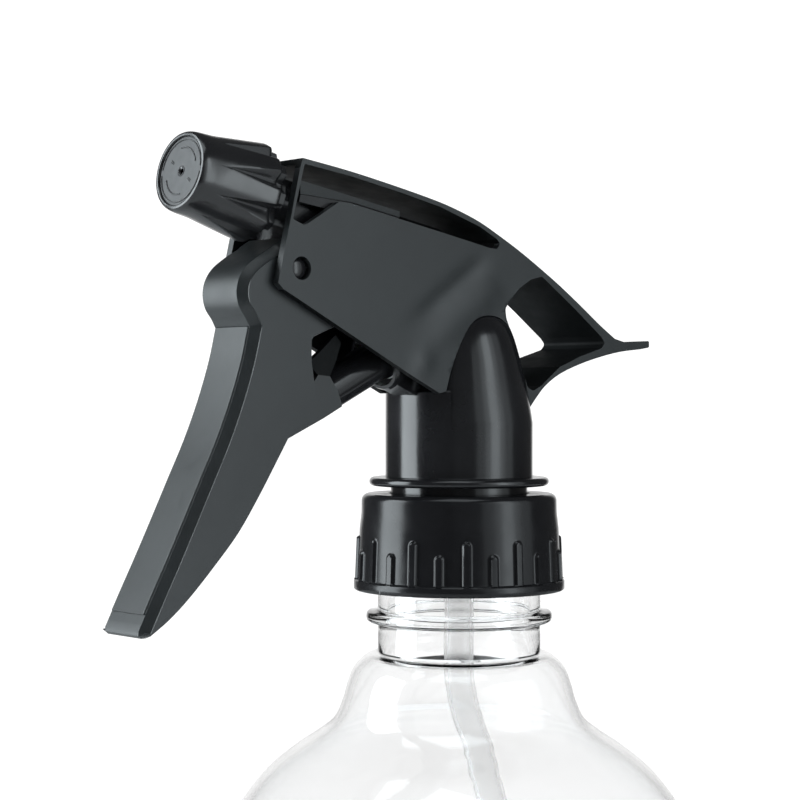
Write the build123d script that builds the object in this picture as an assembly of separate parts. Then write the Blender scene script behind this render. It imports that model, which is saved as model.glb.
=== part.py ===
from build123d import *
import os
from math import cos, sin, radians

os.makedirs("parts", exist_ok=True)

# Frame: +X is the spray direction, +Z is up, and the origin is the centre of the bottle's base.
# All sizes are in millimetres. Outlines are (x, z) or (radius, z) unless a comment says otherwise.

# Bottle and its 28 mm neck finish
BOTTLE_R = 38.0
WALL = 1.2
NECK_R = 12.6            # outside of the neck, under the thread
NECK_FOOT_Z = 134.3
NECK_TOP_Z = 154.9
THREAD_R = 13.75
THREAD_PITCH = 4.233
THREAD_TURNS = 1.5
THREAD_START_Z = NECK_TOP_Z - 2.2 - THREAD_PITCH * THREAD_TURNS
BEAD_R = 14.4            # transfer bead under the thread
BEAD_Z = (138.8, 140.5)

# Closure
CLOSURE_Z = (143.8, 158.6)
CLOSURE_R = (15.7, 15.1)  # at the bottom and at the top
CLOSURE_BORE_R = 14.05
CLOSURE_TOP_WALL = 1.4
CLOSURE_CREST_R = 12.95   # tip of the closure's own thread
FLANGE_R = 16.3
RIB_COUNT = 24
RIB_R = 0.7
RIB_PHASE = 6.0           # degrees from +X to the first rib
HEAD_HOLE_R = 10.9        # hole that the pump body passes through

# Sealing stack on top of the neck
GASKET_Z = (154.9, 156.1)
HOLDER_FLANGE_Z = (156.1, 157.1)
HOLDER_FLANGE_R = 12.4

# Pump body
COLUMN_R = 11.4
# the column's closed top
DOME_CURVE = [(11.4, 169.5), (11.05, 171.8), (10.1, 176.4), (9.1, 180.7), (8.0, 183.9), (6.8, 185.7),
              (4.2, 187.5), (0, 188.4)]
LEDGE_Z = 174.4           # top of the full-width front of the column
LEDGE_X = 8.6             # the ledge lies in front of this plane
COLLAR_R = 13.9
COLLAR_Z = (159.8, 161.1)
SPIGOT_R = 8.4            # tube holder's spigot inside the column
SPIGOT_TOP_Z = 165.5
BALL_R = 2.0
SEAT_Z = 161.0            # top of the inlet ball's conical seat
BALL_CHAMBER_TOP_Z = 168.5

# Pump cylinder, piston and return spring: distances run along the cylinder from its mouth
PUMP_MOUTH = (17.5, 0, 178.72)
PUMP_TILT = 25.8          # degrees above the horizontal, rising to the rear
CYLINDER_R = 4.9
CYLINDER_BORE_R = 4.0
CYLINDER_DEPTH = 17.0
PISTON_ROD_R = 3.0
PISTON_ROD_OUT = 11.1     # rod outside the mouth at rest
HEAD_SPAN = (0.8, 6.2)    # piston head inside the mouth at rest
SPRING_WIRE = 0.7

# Barrel, valve and nozzle: distances run along the barrel from the nozzle's face, rearward negative
NOZZLE_FACE = (52.8, 0, 204.6)
BARREL_TILT = 10.3        # degrees above the horizontal
BARREL_R = 3.3
BARREL_REAR = -48.0
BARREL_FRONT = -3.4
STEM_R = 4.4              # threaded front of the barrel
PASSAGE_R = 1.2
CHAMBER_R = 2.3           # valve chamber in the front of the barrel
CHAMBER_REAR = -19.0
NOZZLE_LENGTH = 14.2
NOZZLE_R = (5.6, 7.2)     # at the face and at the rear
GROOVE_COUNT = 9
GROOVE_PHASE = 9.5        # degrees from +Y to the first groove

# Trigger
PIVOT = (36.6, 191.5)
PIVOT_STUD_R = 1.6
PIVOT_HOLE_R = 1.65
LUG_R = 2.6
LUG_HALF = 3.7
TRIGGER_HALF = 5.2
TRIGGER_WALL = 1.2

# Shroud
SHROUD_HALF = 6.8
SHROUD_WALL = 1.2

# Dip tube
TUBE_R = (2.3, 1.7)       # outside and inside
TUBE_ROUTE = [(0, 155.5), (0, 129), (-26, 62), (-31, 5)]

BARREL = Plane(
    origin=NOZZLE_FACE,
    x_dir=(0, 1, 0),
    z_dir=(cos(radians(BARREL_TILT)), 0, sin(radians(BARREL_TILT))),
)
PUMP = Plane(
    origin=PUMP_MOUTH,
    x_dir=(0, 1, 0),
    z_dir=(-cos(radians(PUMP_TILT)), 0, sin(radians(PUMP_TILT))),
)


def turned(*outline):
    """A solid of revolution about Z from a closed outline of (radius, z) points."""
    face = Plane.XZ * make_face(Polyline(*outline, close=True))
    return revolve(face, Axis.Z)


def ring(outer, inner, low, high):
    return turned((inner, low), (outer, low), (outer, high), (inner, high))


def rod(radius, low, high):
    return Pos(0, 0, low) * Cylinder(radius, high - low, align=(Align.CENTER, Align.CENTER, Align.MIN))


def slab(half_width, *outline):
    """A plate centred on the XZ plane from a closed outline of (x, z) points."""
    return extrude(Plane.XZ * make_face(Polyline(*outline, close=True)), half_width, both=True)


def cross_pin(radius, half_width, x, z):
    """A cylinder along Y, centred on the XZ plane."""
    return Pos(x, 0, z) * (Rot(90, 0, 0) * Cylinder(radius, 2 * half_width))


def screw_thread(root_r, crest_r, start_z, half_root, half_crest, turns):
    """A right-hand thread ridge; root_r may be inside or outside crest_r."""
    helix = Pos(0, 0, start_z) * Helix(THREAD_PITCH, THREAD_PITCH * turns, (root_r + crest_r) / 2)
    section = Plane.XZ * make_face(
        Polyline(
            (root_r, start_z - half_root),
            (crest_r, start_z - half_crest),
            (crest_r, start_z + half_crest),
            (root_r, start_z + half_root),
            close=True,
        )
    )
    return sweep(section, path=helix, is_frenet=True)


def coil(radius, wire_r, low, high, turns):
    """An open coil spring about Z, whose wire stays between low and high."""
    rise = high - low - 2 * wire_r
    helix = Helix(rise / turns, rise, radius)
    spring = sweep(Plane(origin=helix @ 0, z_dir=helix % 0) * Circle(wire_r), path=helix, is_frenet=True)
    return Pos(0, 0, low + wire_r) * spring


def arc_route(points, share):
    """Straight runs joined by tangent arcs, each of which takes a share of the shorter run beside it."""
    edges = []
    here = Vector(points[0][0], 0, points[0][1])
    for before, corner, after in zip(points, points[1:], points[2:]):
        c = Vector(corner[0], 0, corner[1])
        back = Vector(before[0], 0, before[1]) - c
        ahead = Vector(after[0], 0, after[1]) - c
        cut = share * min(back.length, ahead.length)
        start = c + back.normalized() * cut
        end = c + ahead.normalized() * cut
        edges.append(Line(here, start))
        edges.append(TangentArc(start, end, tangent=-back.normalized()))
        here = end
    edges.append(Line(here, Vector(points[-1][0], 0, points[-1][1])))
    return Wire(edges)


# ---------------------------------------------------------------- bottle


def shoulder_curve(inset):
    """The shoulder's half section up to the neck's foot, moved in by inset."""
    return Spline(
        (BOTTLE_R - inset, 98),
        (36.6 - inset, 105.2 - 0.2 * inset),
        (33.1 - 0.8 * inset, 111.8 - 0.5 * inset),
        (29.7 - 0.7 * inset, 116.0 - 0.7 * inset),
        (25.5 - 0.5 * inset, 119.5 - 0.9 * inset),
        (21.7 - 0.5 * inset, 121.8 - 0.9 * inset),
        (19.0 - 0.8 * inset, 124.2 - 0.6 * inset),
        (17.7 - inset, 127.3 - 0.3 * inset),
        (16.7 - inset, 130.9 - 0.4 * inset),
        (NECK_R - 1.3 * inset, NECK_FOOT_Z),
        tangents=((0, 1), (-1, 0.9)),
    )


def bottle():
    ring_r = 30.0
    floor = WALL
    outer = [
        ThreePointArc((0, 5.0), (ring_r / 2, 3.6), (ring_r, 0)),
        Line((ring_r, 0), (BOTTLE_R - 4, 0)),
        ThreePointArc((BOTTLE_R - 4, 0), (BOTTLE_R - 1.17, 1.17), (BOTTLE_R, 4)),
        Line((BOTTLE_R, 4), (BOTTLE_R, 98)),
        shoulder_curve(0),
        Line((NECK_R, NECK_FOOT_Z), (NECK_R, NECK_TOP_Z)),
        Line((NECK_R, NECK_TOP_Z), (0, NECK_TOP_Z)),
        Line((0, NECK_TOP_Z), (0, 5.0)),
    ]
    inner_r = BOTTLE_R - WALL
    neck_inner = NECK_R - 1.3 * WALL
    inner = [
        ThreePointArc((0, 5.0 + floor), (ring_r / 2, 3.6 + floor), (ring_r, floor + 0.3)),
        Line((ring_r, floor + 0.3), (inner_r - 4, floor)),
        ThreePointArc((inner_r - 4, floor), (inner_r - 1.17, floor + 1.17), (inner_r, floor + 4)),
        Line((inner_r, floor + 4), (inner_r, 98)),
        shoulder_curve(WALL),
        Line((neck_inner, NECK_FOOT_Z), (neck_inner, NECK_TOP_Z + 1)),
        Line((neck_inner, NECK_TOP_Z + 1), (0, NECK_TOP_Z + 1)),
        Line((0, NECK_TOP_Z + 1), (0, 5.0 + floor)),
    ]
    shell = revolve(Plane.XZ * make_face(outer), Axis.Z)
    shell += ring(BEAD_R, NECK_R - 0.4, *BEAD_Z)
    shell += screw_thread(NECK_R - 0.3, THREAD_R, THREAD_START_Z, 1.25, 0.5, THREAD_TURNS)
    return shell - revolve(Plane.XZ * make_face(inner), Axis.Z)


# ---------------------------------------------------------------- closure and sealing stack


def closure():
    low, high = CLOSURE_Z
    shell = turned(
        (0, low), (FLANGE_R, low), (FLANGE_R, low + 1.6), (CLOSURE_R[0], low + 1.8),
        (CLOSURE_R[1], high - 1.0), (CLOSURE_R[1] - 1.0, high), (0, high),
    )
    for index in range(RIB_COUNT):
        top = low + (7.6 if index % 2 else 5.6)
        rib = rod(RIB_R, low + 0.5, top) + Pos(0, 0, top) * Sphere(RIB_R)
        shell += Rot(0, 0, index * 360 / RIB_COUNT + RIB_PHASE) * Pos(CLOSURE_R[0] - 0.3, 0, 0) * rib
    shell -= rod(CLOSURE_BORE_R, low - 1, high - CLOSURE_TOP_WALL)
    shell -= rod(HEAD_HOLE_R, low, high + 1)
    # a quarter turn on and a quarter pitch down from the bottle's ridge, which puts the two ridges
    # half a pitch apart all the way round
    start = THREAD_START_Z - THREAD_PITCH / 4
    ridge = screw_thread(CLOSURE_BORE_R + 0.3, CLOSURE_CREST_R, start, 1.1, 0.45, THREAD_TURNS)
    return shell + Rot(0, 0, 90) * ridge


def neck_gasket():
    return ring(12.4, 9.0, *GASKET_Z)


def tube_holder():
    low, high = HOLDER_FLANGE_Z
    body = rod(HOLDER_FLANGE_R, low, high)
    body += rod(SPIGOT_R, high, SPIGOT_TOP_Z)
    body += rod(3.7, 146.0, low)
    body -= rod(TUBE_R[0], 145.0, TUBE_ROUTE[0][1])
    body -= rod(1.2, 150.0, 163.0)
    # conical seat and open cage above it for the inlet ball
    cage_r = BALL_R + 0.4
    body -= turned((0, SEAT_Z - 1.2), (1.2, SEAT_Z - 1.2), (cage_r, SEAT_Z + 0.4), (cage_r, 170), (0, 170))
    # vent hole for the air that replaces the liquid
    body -= Pos(5.6, 0, 0) * rod(0.6, 150, 170)
    return body


def inlet_ball():
    return Pos(0, 0, SEAT_Z + 1.55) * Sphere(BALL_R - 0.05)


def dip_tube():
    route = arc_route(TUBE_ROUTE, 0.42)
    start = Plane(origin=route @ 0, z_dir=route % 0)
    tube = sweep(start * Circle(TUBE_R[0]), path=route)
    tube -= sweep(start * Circle(TUBE_R[1]), path=route)
    # the free end is cut to a slant so that it can't seal against the bottle's floor
    end_x, end_z = TUBE_ROUTE[-1]
    return tube - Pos(end_x, 0, end_z - 1.2) * (Rot(0, 35, 0) * Box(14, 14, 6))


# ---------------------------------------------------------------- pump body


def column_top(gap):
    """The closed top of the column with the ledge round its front, grown by gap, from z 160 up."""
    foot_z = 160.0
    curve = [(r + gap if r else 0, z + gap) for r, z in DOME_CURVE]
    outline = [
        Polyline(curve[-1], (0, foot_z), (COLUMN_R + gap, foot_z), curve[0]),
        Spline(*curve, tangents=((0, 1), (-1, 0))),
    ]
    ledge = rod(COLUMN_R + gap, foot_z, LEDGE_Z + gap)
    ledge -= Pos(LEDGE_X - gap - 30, 0, LEDGE_Z) * Box(60, 60, 60)
    return revolve(Plane.XZ * make_face(outline), Axis.Z) + ledge


def column():
    low = HOLDER_FLANGE_Z[1]
    edge = COLLAR_R - 0.6
    collar = [
        ThreePointArc((edge, COLLAR_Z[0]), (COLLAR_R, sum(COLLAR_Z) / 2), (edge, COLLAR_Z[1])),
        Polyline((edge, COLLAR_Z[1]), (0, COLLAR_Z[1]), (0, COLLAR_Z[0]), (edge, COLLAR_Z[0])),
    ]
    body = rod(HEAD_HOLE_R - 0.3, low, COLLAR_Z[1])
    body += revolve(Plane.XZ * make_face(collar), Axis.Z)
    return body + column_top(0)


def pump_body():
    body = column()
    body += PUMP * rod(CYLINDER_R, 0, CYLINDER_DEPTH + 1.2)
    body += BARREL * rod(BARREL_R, BARREL_REAR, -14.0)
    body += BARREL * rod(STEM_R, -16.0, BARREL_FRONT)
    # gusset under the cylinder, web up to the barrel, and the rails that the shroud clips over
    body += slab(2.5, (15.4, 175.4), (11.0, 173.2), (5.0, 172.0), (4.0, 182.0), (13.0, 182.0))
    body += slab(1.5, (13.0, 182.0), (-4.0, 184.0), (-5.0, 192.0), (0.0, 195.0), (34.0, 199.0), (30.0, 196.0))
    body += slab(5.3, (35.2, 203.9), (17.2, 200.7), (17.2, 198.4), (35.9, 201.0))
    # lug under the barrel with the two studs that the trigger hangs on
    x, z = PIVOT
    body += slab(LUG_HALF, (x - 2.6, z), (x + 1.4, z), (x - 1.4, z + 9.5), (x - 6.0, z + 8.0))
    body += cross_pin(LUG_R, LUG_HALF, x, z)
    body += cross_pin(PIVOT_STUD_R, 6.3, x, z)

    # column bore, ball chamber and the passage up to the cylinder
    body -= rod(SPIGOT_R, HOLDER_FLANGE_Z[1] - 1, SPIGOT_TOP_Z)
    body -= rod(5.0, SPIGOT_TOP_Z - 0.5, BALL_CHAMBER_TOP_Z)
    body -= Pos(1.8, 0, 0) * rod(1.4, 168.0, 184.0)
    body -= PUMP * rod(CYLINDER_BORE_R, -1, CYLINDER_DEPTH)
    # outlet passage, barrel passage and the valve chamber in front of it
    body -= Pos(4.5, 0, 0) * rod(1.1, 186.5, 195.8)
    body -= BARREL * rod(PASSAGE_R, BARREL_REAR + 3.5, 0)
    body -= BARREL * rod(CHAMBER_R, CHAMBER_REAR, 0)
    # vent from the cylinder's floor to the column bore
    vent = Line((13.6, 0, 178.0), (7.2, 0, 164.8))
    return body - sweep(Plane(origin=vent @ 0, z_dir=vent % 0) * Circle(0.5), path=vent)


# ---------------------------------------------------------------- piston group, on the cylinder


def piston():
    front, rear = HEAD_SPAN
    stem = turned(
        (0, -PISTON_ROD_OUT), (PISTON_ROD_R - 0.5, -PISTON_ROD_OUT), (PISTON_ROD_R, -PISTON_ROD_OUT + 0.6),
        (PISTON_ROD_R, front), (3.3, front + 0.3), (3.3, front + 0.7), (2.7, front + 0.7), (2.7, front + 2.2),
        (3.3, front + 2.2), (3.3, rear - 1.9), (2.7, rear - 1.9), (2.7, rear - 0.4), (2.2, rear), (0, rear),
    )
    return PUMP * (stem - rod(1.9, -PISTON_ROD_OUT + 2.0, rear + 1))


def lip_seal(low, high):
    """A soft ring with a flared lip, sitting in one of the piston's grooves."""
    return PUMP * turned((2.7, low), (3.5, low), (3.95, high), (3.4, high), (3.1, low + 0.7), (2.7, low + 0.7))


def vent_wiper():
    return lip_seal(HEAD_SPAN[0] + 0.75, HEAD_SPAN[0] + 2.15)


def piston_cup():
    return lip_seal(HEAD_SPAN[1] - 1.85, HEAD_SPAN[1] - 0.45)


def return_spring():
    return PUMP * coil(3.1, SPRING_WIRE / 2, HEAD_SPAN[1] + 0.05, CYLINDER_DEPTH, 6)


# ---------------------------------------------------------------- outlet valve and nozzle, on the barrel


def outlet_valve():
    disc = turned((0, CHAMBER_REAR), (1.9, CHAMBER_REAR), (1.9, CHAMBER_REAR + 1.0), (0.9, CHAMBER_REAR + 1.3),
                  (0.9, CHAMBER_REAR + 3.2), (0, CHAMBER_REAR + 3.2))
    return BARREL * disc


def outlet_spring():
    return BARREL * coil(1.45, 0.2, CHAMBER_REAR + 1.35, CHAMBER_REAR + 7.0, 7)


def swirl_post():
    """Splined post that fills the chamber's front; its slots feed the swirl grooves on its nose."""
    rear = CHAMBER_REAR + 7.0
    post = rod(CHAMBER_R, rear, BARREL_FRONT - 0.6) + rod(1.6, BARREL_FRONT - 0.7, -2.3)
    post -= rod(0.9, rear - 1, rear + 2.5)
    for angle in (0, 90, 180, 270):
        slot = Pos(CHAMBER_R, 0, (rear + BARREL_FRONT) / 2) * Box(1.0, 0.8, 12)
        groove = Pos(0.9, 0.45, -2.3) * Box(1.8, 0.35, 0.6)
        post -= Rot(0, 0, angle) * (slot + groove)
    return BARREL * post


def nozzle_seal():
    return BARREL * ring(4.35, 1.75, BARREL_FRONT + 0.05, BARREL_FRONT + 0.95)


def nozzle_cap():
    face_r, rear_r = NOZZLE_R
    rear = -NOZZLE_LENGTH
    cap = turned(
        (0, rear), (rear_r - 0.2, rear), (rear_r, rear + 0.4), (rear_r, rear + 2.2), (6.6, rear + 3.0),
        (face_r + 0.25, -1.2), (face_r, -0.3), (face_r - 0.3, 0), (face_r - 0.7, 0), (face_r - 0.8, -0.5),
        (0, -0.5),
    )
    for index in range(GROOVE_COUNT):
        groove = Pos(7.0, 0, -8.6) * (Rot(0, -7, 0) * (Rot(0, 0, 45) * Box(1.4, 1.4, 7.4)))
        cap -= Rot(0, 0, index * 360 / GROOVE_COUNT + GROOVE_PHASE) * groove
    cap -= rod(STEM_R + 0.3, rear - 1, BARREL_FRONT + 1.0)
    cap -= rod(1.75, BARREL_FRONT, -2.05)
    return BARREL * (cap - rod(0.35, -3, 1))


# ---------------------------------------------------------------- trigger


def trigger():
    x, z = PIVOT
    outline = [
        Polyline((33.0, 190.5), (33.1, 195.0), (34.4, 196.3), (37.0, 196.3), (38.2, 195.6), (39.9, 194.5),
                 (42.5, 192.7)),
        Spline((42.5, 192.7), (44.9, 190.8), (45.8, 187.8), (44.6, 184.9), (43.6, 183.2)),
        Spline((43.6, 183.2), (46.7, 173.0), (51.8, 162.1), (57.1, 151.5), (62.2, 142.0)),
        Line((62.2, 142.0), (61.1, 141.1)),
        Spline((61.1, 141.1), (54.6, 146.0), (46.2, 154.4), (40.1, 163.2), (36.2, 168.7)),
        Line((36.2, 168.7), (31.8, 170.4)),
        Line((31.8, 170.4), (33.2, 181.0)),
        Line((33.2, 181.0), (33.0, 190.5)),
    ]
    body = extrude(Plane.XZ * make_face(outline), TRIGGER_HALF, both=True)
    wall = TRIGGER_WALL + 0.2
    hollow = [
        Polyline((37.4, 200.0), (37.7, 194.2), (39.2, 193.3), (41.4, 191.6), (43.6, 189.8), (44.3, 187.8),
                 (43.2, 185.4), (42.1, 183.2)),
        Spline((42.1, 183.2), (46.7 - wall, 172.4), (51.8 - wall, 161.5), (57.1 - wall, 150.9), (59.6, 144.6)),
        Polyline((59.6, 144.6), (56.0, 138.0), (20.0, 150.0), (20.0, 200.0), (37.4, 200.0)),
    ]
    body -= extrude(Plane.XZ * make_face(hollow), TRIGGER_HALF - TRIGGER_WALL, both=True)
    # push plate that bears on the piston, and the web that carries it
    body += slab(
        TRIGGER_HALF - TRIGGER_WALL,
        (31.0, 177.2), (29.4, 176.6), (27.7, 174.2), (26.9, 172.1), (30.4, 170.4), (41.8, 165.4), (45.4, 171.2),
        (44.2, 175.2), (34.0, 173.2),
    )
    return body - cross_pin(PIVOT_HOLE_R, 20, x, z)


# ---------------------------------------------------------------- shroud

ROOF = [(36.4, 207.0), (27.8, 205.8), (18.2, 204.1), (10.3, 202.5), (2.0, 200.0), (-6.5, 196.0), (-15.4, 191.0),
        (-24.7, 185.0), (-28.7, 182.6)]
TAIL = [(-36.5, 182.7), (-36.5, 181.6)]
UNDERSIDE = [(-34.3, 181.3), (-29.4, 180.8), (-24.7, 179.9), (-20.0, 178.7), (-15.4, 177.1), (-12.1, 175.2),
             (-8.7, 171.8)]
ARCH = [(-7.4, 176.4), (-5.9, 180.4), (-3.9, 183.2), (-0.3, 185.4), (4.4, 183.9), (6.3, 181.0), (9.0, 174.3)]
FRONT = [(10.3, 174.2), (36.9, 187.2), (39.8, 188.5), (40.9, 189.3), (38.7, 197.9)]
SIDE_SLOT = [(36.0, 206.4), (27.6, 205.2), (18.1, 203.5), (10.2, 201.9), (2.0, 199.4), (-2.2, 197.3),
             (-1.6, 196.0), (8.2, 197.7), (27.8, 201.2), (29.7, 201.4), (36.2, 197.5), (38.0, 198.0)]
WINDOW = [(-4.2, 188.4), (-8.7, 191.6), (-12.1, 192.1), (-25.4, 182.6), (-25.4, 181.0), (-15.4, 178.4),
          (-9.6, 174.6), (-8.1, 175.4), (-6.5, 179.6)]


def shroud():
    """A thin shell open below and at the front: two side plates joined by the roof and the tail's floor."""
    side = ROOF + TAIL + UNDERSIDE + ARCH + FRONT
    body = slab(SHROUD_HALF, *side)
    inside = SHROUD_HALF - SHROUD_WALL
    # room for the pump body between the side plates, under the roof and in front of the tail
    body -= slab(
        inside,
        (48.0, 207.2), (36.4, 205.8), (27.8, 204.6), (18.2, 202.9), (10.3, 201.3), (2.0, 198.8), (-6.5, 194.7),
        (-8.3, 192.6), (-6.2, 188.0), (-5.6, 184.0), (-8.2, 178.0), (-10.0, 168.0), (48.0, 168.0),
    )
    # the column and its dome, with a little clearance all round
    body -= column_top(0.1)
    body -= slab(SHROUD_HALF + 1, *SIDE_SLOT)
    body -= slab(SHROUD_HALF + 1, *WINDOW)
    return body - cross_pin(PIVOT_HOLE_R, 20, *PIVOT)


NODES = {
    "bottle": bottle,
    "closure": closure,
    "neck_gasket": neck_gasket,
    "tube_holder": tube_holder,
    "dip_tube": dip_tube,
    "inlet_ball": inlet_ball,
    "pump_body": pump_body,
    "piston": piston,
    "piston_cup": piston_cup,
    "vent_wiper": vent_wiper,
    "return_spring": return_spring,
    "outlet_valve": outlet_valve,
    "outlet_spring": outlet_spring,
    "swirl_post": swirl_post,
    "nozzle_seal": nozzle_seal,
    "nozzle_cap": nozzle_cap,
    "trigger": trigger,
    "shroud": shroud,
}

for name, make in NODES.items():
    export_step(make(), f"parts/{name}.step")
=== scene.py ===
from math import cos, exp, hypot, pi, radians, sin, tan

import bmesh
import bpy
from mathutils import Matrix, Vector


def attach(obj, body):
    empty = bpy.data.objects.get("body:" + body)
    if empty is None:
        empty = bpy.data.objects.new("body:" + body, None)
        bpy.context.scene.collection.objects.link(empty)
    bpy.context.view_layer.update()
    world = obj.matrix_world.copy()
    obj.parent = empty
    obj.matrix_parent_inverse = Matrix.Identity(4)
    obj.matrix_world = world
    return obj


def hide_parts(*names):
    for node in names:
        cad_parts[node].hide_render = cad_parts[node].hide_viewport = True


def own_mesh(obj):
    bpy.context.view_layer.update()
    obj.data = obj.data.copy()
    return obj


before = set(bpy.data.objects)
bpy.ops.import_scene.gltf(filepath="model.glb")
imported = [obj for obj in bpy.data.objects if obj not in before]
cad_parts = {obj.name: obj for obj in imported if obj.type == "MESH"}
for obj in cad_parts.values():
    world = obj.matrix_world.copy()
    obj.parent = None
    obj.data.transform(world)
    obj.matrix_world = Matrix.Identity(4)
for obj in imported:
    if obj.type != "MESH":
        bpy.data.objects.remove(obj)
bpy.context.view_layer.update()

# Lengths below are millimetres in the CAD frame: +X is the spray direction and +Z is up.
MM = 0.001

BOTTLE_R = 38.0
HEEL_R = 4.0
WALL = 1.2
NECK_R = 12.6
NECK_TOP_Z = 154.9
THREAD_R = 13.75
THREAD_PITCH = 4.233
THREAD_TURNS = 1.5
THREAD_START_Z = NECK_TOP_Z - 2.2 - THREAD_PITCH * THREAD_TURNS
BEAD_R = 14.4
BEAD_Z = (138.8, 140.5)

CLOSURE_Z = (143.8, 158.6)
CLOSURE_R = (15.7, 15.1)
CLOSURE_BORE_R = 14.05
CLOSURE_TOP_WALL = 1.4
CLOSURE_CREST_R = 12.95
FLANGE_R = 16.3
FLANGE_HEIGHT = 1.6
SKIRT_FOOT = 1.9         # the skirt starts this far above the closure's lower edge
RIB_COUNT = 24
RIB_PHASE = 6.0
RIB_TOPS = (5.6, 7.6)    # heights above the closure's lower edge, by turns
RIB_HALF = 0.45
RIB_RISE = 0.42
RIB_SLOPE = 0.25         # width of a rib's sloping side
HEAD_HOLE_R = 10.9

COLUMN_R = 11.4
COLUMN_FOOT_Z = 157.1
COLLAR_R = 13.9
COLLAR_Z = (159.8, 161.1)
DOME = [
    (11.4, 169.5), (11.05, 171.8), (10.1, 176.4), (9.1, 180.7), (8.0, 183.9), (6.8, 185.7), (4.2, 187.5),
    (0, 188.4),
]
SLEEVE_BORE_R = 9.6
LEDGE_X = 8.6            # the sleeve round the column stands in front of this
LEDGE_Z = 174.4

PUMP_MOUTH = (17.5, 0, 178.72)
PUMP_TILT = 25.8
CYLINDER_R = 4.9
CYLINDER_BORE_R = 4.0
CYLINDER_DEPTH = 17.0
PISTON_ROD_R = 3.0
PISTON_ROD_OUT = 11.1
HEAD_SPAN = (0.8, 6.2)
PISTON_HEAD_R = 3.3
SEAL_SEAT_R = 2.7
ROD_BORE_R = 1.9

NOZZLE_FACE = (52.8, 0, 204.6)
BARREL_TILT = 10.3
BARREL_R = 3.3
BARREL_REAR = -48.0
BARREL_FRONT = -3.4
STEM_R = 4.4
STEM_REAR = -15.6
CHAMBER_R = 2.3
CHAMBER_REAR = -19.0
NOZZLE_LENGTH = 14.2

PIVOT = (36.6, 191.5)
PIVOT_STUD_R = 1.6
PIVOT_HOLE_R = 1.65
STUD_HALF = 5.6
LUG_R = 2.6
LUG_HALF = 3.7
RAIL_HALF = 5.3
TRIGGER_HALF = 5.2
TRIGGER_WALL = 1.2
TRIGGER_FRONT_WALL = 1.4
TRIGGER_FRONT_EDGE = 1.25
TRIGGER_SMALL_EDGE = 0.35
GRIP_HALF = 3.95
SHROUD_HALF = 6.8
SHROUD_WALL = 1.2
TUBE_R = 2.3
TUBE_BORE_R = 1.7


def tilted(origin, direction):
    """Places a shape made about Z on an axis of the sprayer, with its own X along the sprayer's Y."""
    z = Vector(direction).normalized()
    x = Vector((0, 1, 0))
    y = z.cross(x)
    turn = Matrix((x, y, z)).transposed().to_4x4()
    return Matrix.Translation(Vector(origin)) @ turn


BARREL = tilted(NOZZLE_FACE, (cos(radians(BARREL_TILT)), 0, sin(radians(BARREL_TILT))))
PUMP = tilted(PUMP_MOUTH, (-cos(radians(PUMP_TILT)), 0, sin(radians(PUMP_TILT))))


# ---------------------------------------------------------------- outlines


def through(points, steps):
    """A smooth run through the points: a Catmull-Rom curve with the chord lengths taken into account."""
    pts = [Vector(p) for p in points]
    tangents = []
    for i, p in enumerate(pts):
        a = pts[max(i - 1, 0)]
        b = pts[min(i + 1, len(pts) - 1)]
        tangents.append((b - a).normalized())
    run = [tuple(pts[0])]
    for i in range(len(pts) - 1):
        p, q = pts[i], pts[i + 1]
        chord = (q - p).length
        for k in range(1, steps + 1):
            t = k / steps
            h = (
                (2 * t**3 - 3 * t**2 + 1) * p
                + (t**3 - 2 * t**2 + t) * chord * tangents[i]
                + (-2 * t**3 + 3 * t**2) * q
                + (t**3 - t**2) * chord * tangents[i + 1]
            )
            run.append(tuple(h))
    return run


def arc(centre, radius, start, end, steps):
    """Points on a circle from angle start to angle end, in degrees."""
    angles = [radians(start + (end - start) * k / steps) for k in range(steps + 1)]
    return [(centre[0] + radius * cos(a), centre[1] + radius * sin(a)) for a in angles]


def rounded(points, radius, steps=5):
    """A closed outline with each corner rounded; radius may be one number or one for each point."""
    out = []
    count = len(points)
    for i, p in enumerate(points):
        r = radius[i] if isinstance(radius, (list, tuple)) else radius
        p = Vector(p)
        a = Vector(points[i - 1]) - p
        b = Vector(points[(i + 1) % count]) - p
        reach = min(a.length, b.length) * 0.45
        angle = a.angle(b)
        cut = min(r / max(tan(angle / 2), 1e-6), reach)
        if r <= 0 or cut < 0.02 or angle > radians(176):
            out.append(tuple(p))
            continue
        start, end = p + a.normalized() * cut, p + b.normalized() * cut
        for k in range(steps + 1):
            t = k / steps
            q = start * (1 - t) ** 2 + p * 2 * t * (1 - t) + end * t**2
            out.append(tuple(q))
    return out


# ---------------------------------------------------------------- mesh building


def finished(name, bm, place=None):
    """A mesh object in metres from a bmesh in millimetres."""
    if place is not None:
        bm.transform(place)
    bmesh.ops.remove_doubles(bm, verts=bm.verts, dist=1e-4)
    bmesh.ops.recalc_face_normals(bm, faces=bm.faces)
    bm.transform(Matrix.Scale(MM, 4))
    mesh = bpy.data.meshes.new(name)
    bm.to_mesh(mesh)
    bm.free()
    obj = bpy.data.objects.new(name, mesh)
    bpy.context.scene.collection.objects.link(obj)
    return obj


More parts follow.
